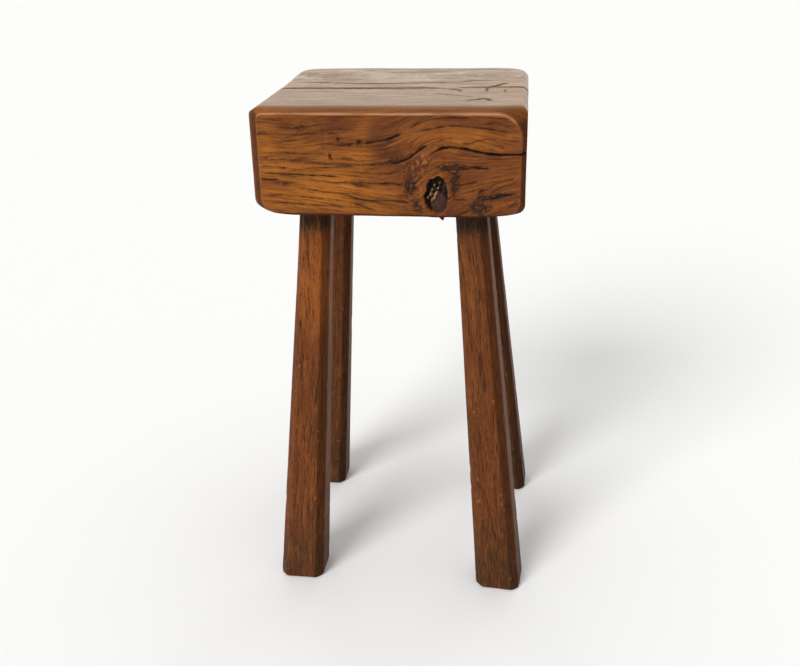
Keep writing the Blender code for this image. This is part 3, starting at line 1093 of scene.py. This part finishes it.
def wood_roughness(n, look, roughness):
    """Rougher on the patina and painted shade, where it is cracked or bark, and in rubbed patches of the
    bleached top.
    """
    rough = n.span(look.fibres, 0.3, 0.7, roughness - 0.04, roughness + 0.06)
    rough = n.plus(rough, n.times(n.field("patina_and_shade"), 0.7))
    rubbed = n.span(look.streaks, 0.35, 0.65, -0.04, 0.14)
    rough = n.plus(rough, n.times(n.field("bleach"), rubbed))
    rough = n.plus(rough, n.times(n.field("dark"), 0.8))
    return n.plus(rough, n.times(n.field("hole"), 0.5), clamp=True)


def wood_bump(n, look):
    """The surface normal with the grain raised, the lines sunk, and the knot lumpy."""
    height = n.plus(n.times(look.streaks, 0.4), n.times(look.fibres, 0.35))
    height = n.math("SUBTRACT", height, n.times(look.line, 0.9))
    height = n.plus(height, n.times(n.times(look.lumps, n.field("swirl")), 2.0))
    height = n.plus(height, n.times(n.times(look.bark, n.field("hole")), 3.0))
    bump = n.add("ShaderNodeBump")
    n.feed(bump.inputs["Strength"], BUMP_STRENGTH)
    n.feed(bump.inputs["Distance"], BUMP_DISTANCE)
    n.feed(bump.inputs["Height"], height)
    return bump.outputs[0]


def wood_material(name, palette, figure, roughness, fibre, dash_per_mm, dash_dark, grime_per_mm,
                  grain_of=stored_grain):
    """Old finished hardwood whose figure follows the piece's grain coordinates.

    figure, fibre and dash_dark are how strongly its lines, fibres and short dashes show.
    """
    material = bpy.data.materials.new(name)
    n = Nodes(material)
    palette = {tone: colour(*screen) for tone, screen in palette.items()}
    look = wood_figure(n, grain_of(n), figure, dash_per_mm, grime_per_mm)
    wood = wood_colour(n, look, palette, fibre, dash_dark)
    shader = n.tree.nodes["Principled BSDF"].inputs
    n.feed(shader["Base Color"], n.mix(n.field("hole"), wood, knot_colour(n, look, palette)))
    n.feed(shader["Roughness"], wood_roughness(n, look, roughness))
    n.feed(shader["Normal"], wood_bump(n, look))
    shader["IOR"].default_value = FINISH_IOR
    return material


# Colours as screen values of 0 to 255
BLOCK_PALETTE = {
    "mid": (128, 71, 27),
    "deep": (106, 56, 21),
    "honey": (180, 109, 35),
    "red": (98, 50, 25),
    "light": (164, 97, 38),
    "dark": (72, 37, 14),
    "line": (42, 20, 8),
    "bleach": (136, 110, 74),
    # Also the tone of the painted shade on the block's side bevels
    "patina_and_shade": (58, 26, 6),
    # Light wear, and the painted highlight along the block's top ridge
    "wear_and_highlight": (186, 132, 92),
    "stain_and_shade": (31, 20, 11),
    "lump": (160, 96, 56),
    "umber_and_shade": (70, 32, 17),
    # The dark of the checks, partly painted shade in their grooves
    "crack": (20, 11, 7),
    "bark": (30, 23, 20),
    "bark_light": (66, 52, 44),
    "plug": (62, 38, 30),
    "chips": (168, 130, 90),
    "chips_dark": (96, 68, 46),
}
LEG_PALETTE = BLOCK_PALETTE | {
    "mid": (113, 61, 23),
    "deep": (95, 51, 20),
    "honey": (156, 86, 28),
    "red": (98, 47, 18),
    "light": (144, 84, 38),
    "dark": (62, 34, 14),
    "line": (36, 19, 8),
    # On the legs the stain, umber and patina tones mostly paint shade: under the seat, over the back
    # legs and on the chamfers facing right
    "stain_and_shade": (42, 31, 18),
    "umber_and_shade": (52, 37, 20),
    "patina_and_shade": (42, 24, 12),
}
WEDGE_PALETTE = BLOCK_PALETTE | {
    "mid": (190, 152, 104),
    "deep": (176, 136, 90),
    "light": (206, 172, 124),
    "dark": (150, 112, 72),
    "line": (120, 86, 54),
}


def dress(thing, material):
    thing.data.materials.clear()
    thing.data.materials.append(material)


# -------- stage, light and camera

FLOOR_SIDE = 60.0
FLOOR_COLOUR = (0.84, 0.84, 0.84, 1.0)
ROOM_LIGHT = (0.28, 0.28, 0.28, 1.0)
BACK_WALL_LIGHT = (1.64, 1.63, 1.52, 1.0)
BACKDROP_COLOUR = (0.97, 0.97, 0.965, 1.0)
LIGHT_DISTANCE = 3.0
CAMERA_PLACE = (0.110, -0.890, 0.600)
# The camera's pitch down, its yaw to the left and its roll, in degrees
CAMERA_TURN = (23.02, 7.36, -1.17)
LENS, SENSOR = 44.25, 36.0


def make_floor():
    bpy.ops.mesh.primitive_plane_add(size=FLOOR_SIDE, location=(0.0, 0.0, 0.0))
    floor = bpy.context.object
    floor.name = "pale_floor"
    material = bpy.data.materials.new("pale_floor")
    shader = Nodes(material).tree.nodes["Principled BSDF"].inputs
    shader["Base Color"].default_value = FLOOR_COLOUR
    shader["Roughness"].default_value = 0.85
    shader["Specular IOR Level"].default_value = 0.1
    dress(floor, material)


def make_world():
    """A room that is bright behind the stool and dim in front, with a pale backdrop."""
    world = bpy.data.worlds.new("studio")
    bpy.context.scene.world = world
    n = Nodes(world)
    parts = n.add("ShaderNodeSeparateXYZ")
    n.feed(parts.inputs[0], n.add("ShaderNodeTexCoord").outputs["Generated"])
    light = n.mix(n.span(parts.outputs["Y"], 0.5, 0.93), ROOM_LIGHT, BACK_WALL_LIGHT)
    seen = n.add("ShaderNodeLightPath").outputs["Is Camera Ray"]
    n.feed(n.tree.nodes["Background"].inputs["Color"], n.mix(seen, light, BACKDROP_COLOUR))


def make_light(name, direction, spread, strength):
    """A soft light that comes from a direction, spread over an angle in degrees."""
    lamp = bpy.data.lights.new(name, "SUN")
    lamp.angle = math.radians(spread)
    lamp.energy = strength
    thing = bpy.data.objects.new(name, lamp)
    thing.location = Vector(direction).normalized() * LIGHT_DISTANCE
    thing.rotation_mode = "QUATERNION"
    thing.rotation_quaternion = (-thing.location).to_track_quat("-Z", "Y")
    bpy.context.scene.collection.objects.link(thing)


def make_camera():
    """A camera a little above seat height, looking down and slightly to the left."""
    pitch, yaw, roll = (math.radians(angle) for angle in CAMERA_TURN)
    forward = Vector((-math.sin(yaw) * math.cos(pitch), math.cos(yaw) * math.cos(pitch),
                      -math.sin(pitch)))
    level = Vector((math.cos(yaw), math.sin(yaw), 0.0))
    upright = level.cross(forward)
    right = math.cos(roll) * level + math.sin(roll) * upright
    up = -math.sin(roll) * level + math.cos(roll) * upright
    camera = bpy.data.objects.new("camera", bpy.data.cameras.new("camera"))
    camera.data.lens = LENS
    camera.data.sensor_width = SENSOR
    turn = Matrix((right, up, -forward)).transposed().to_4x4()
    camera.matrix_world = Matrix.Translation(CAMERA_PLACE) @ turn
    bpy.context.scene.collection.objects.link(camera)
    bpy.context.scene.camera = camera


# -------- putting it together

make_camera()
make_world()
make_floor()
make_light("key", (-0.95, -1.80, 1.46), 28.0, 2.4)
make_light("overhead", (0.1, 0.1, 2.3), 70.0, 1.0)
bpy.context.scene.view_settings.view_transform = "Standard"

block_wood = wood_material(
    "old_block_wood", BLOCK_PALETTE, figure=1.0, roughness=0.30, fibre=0.4,
    dash_per_mm=(0.035, 0.55, 0.5), dash_dark=0.45, grime_per_mm=(0.32, 0.45, 0.3))
leg_wood = wood_material(
    "old_leg_wood", LEG_PALETTE, figure=0.7, roughness=0.54, fibre=0.7,
    dash_per_mm=(0.05, 0.85, 0.85), dash_dark=0.75, grime_per_mm=(0.06, 0.5, 0.5))
wedge_wood = wood_material(
    "bare_wedge_wood", WEDGE_PALETTE, figure=0.4, roughness=0.6, fibre=0.35,
    dash_per_mm=(0.05, 0.85, 0.85), dash_dark=0.4, grime_per_mm=(0.06, 0.5, 0.5),
    grain_of=upright_grain)

block = build_block()
dress(block, block_wood)
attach(block, "root")
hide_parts("seat_block")

splinter = build_splinter()
dress(splinter, block_wood)
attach(splinter, "root")

for index, (corner, (glow, grime_and_shade)) in enumerate(LEG_TONES.items()):
    node = "leg_" + corner
    leg = build_leg(node, 100 + 10 * index, glow, grime_and_shade)
    dress(leg, leg_wood)
    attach(leg, "root")
    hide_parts(node)
    dress(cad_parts["wedge_" + corner], wedge_wood)
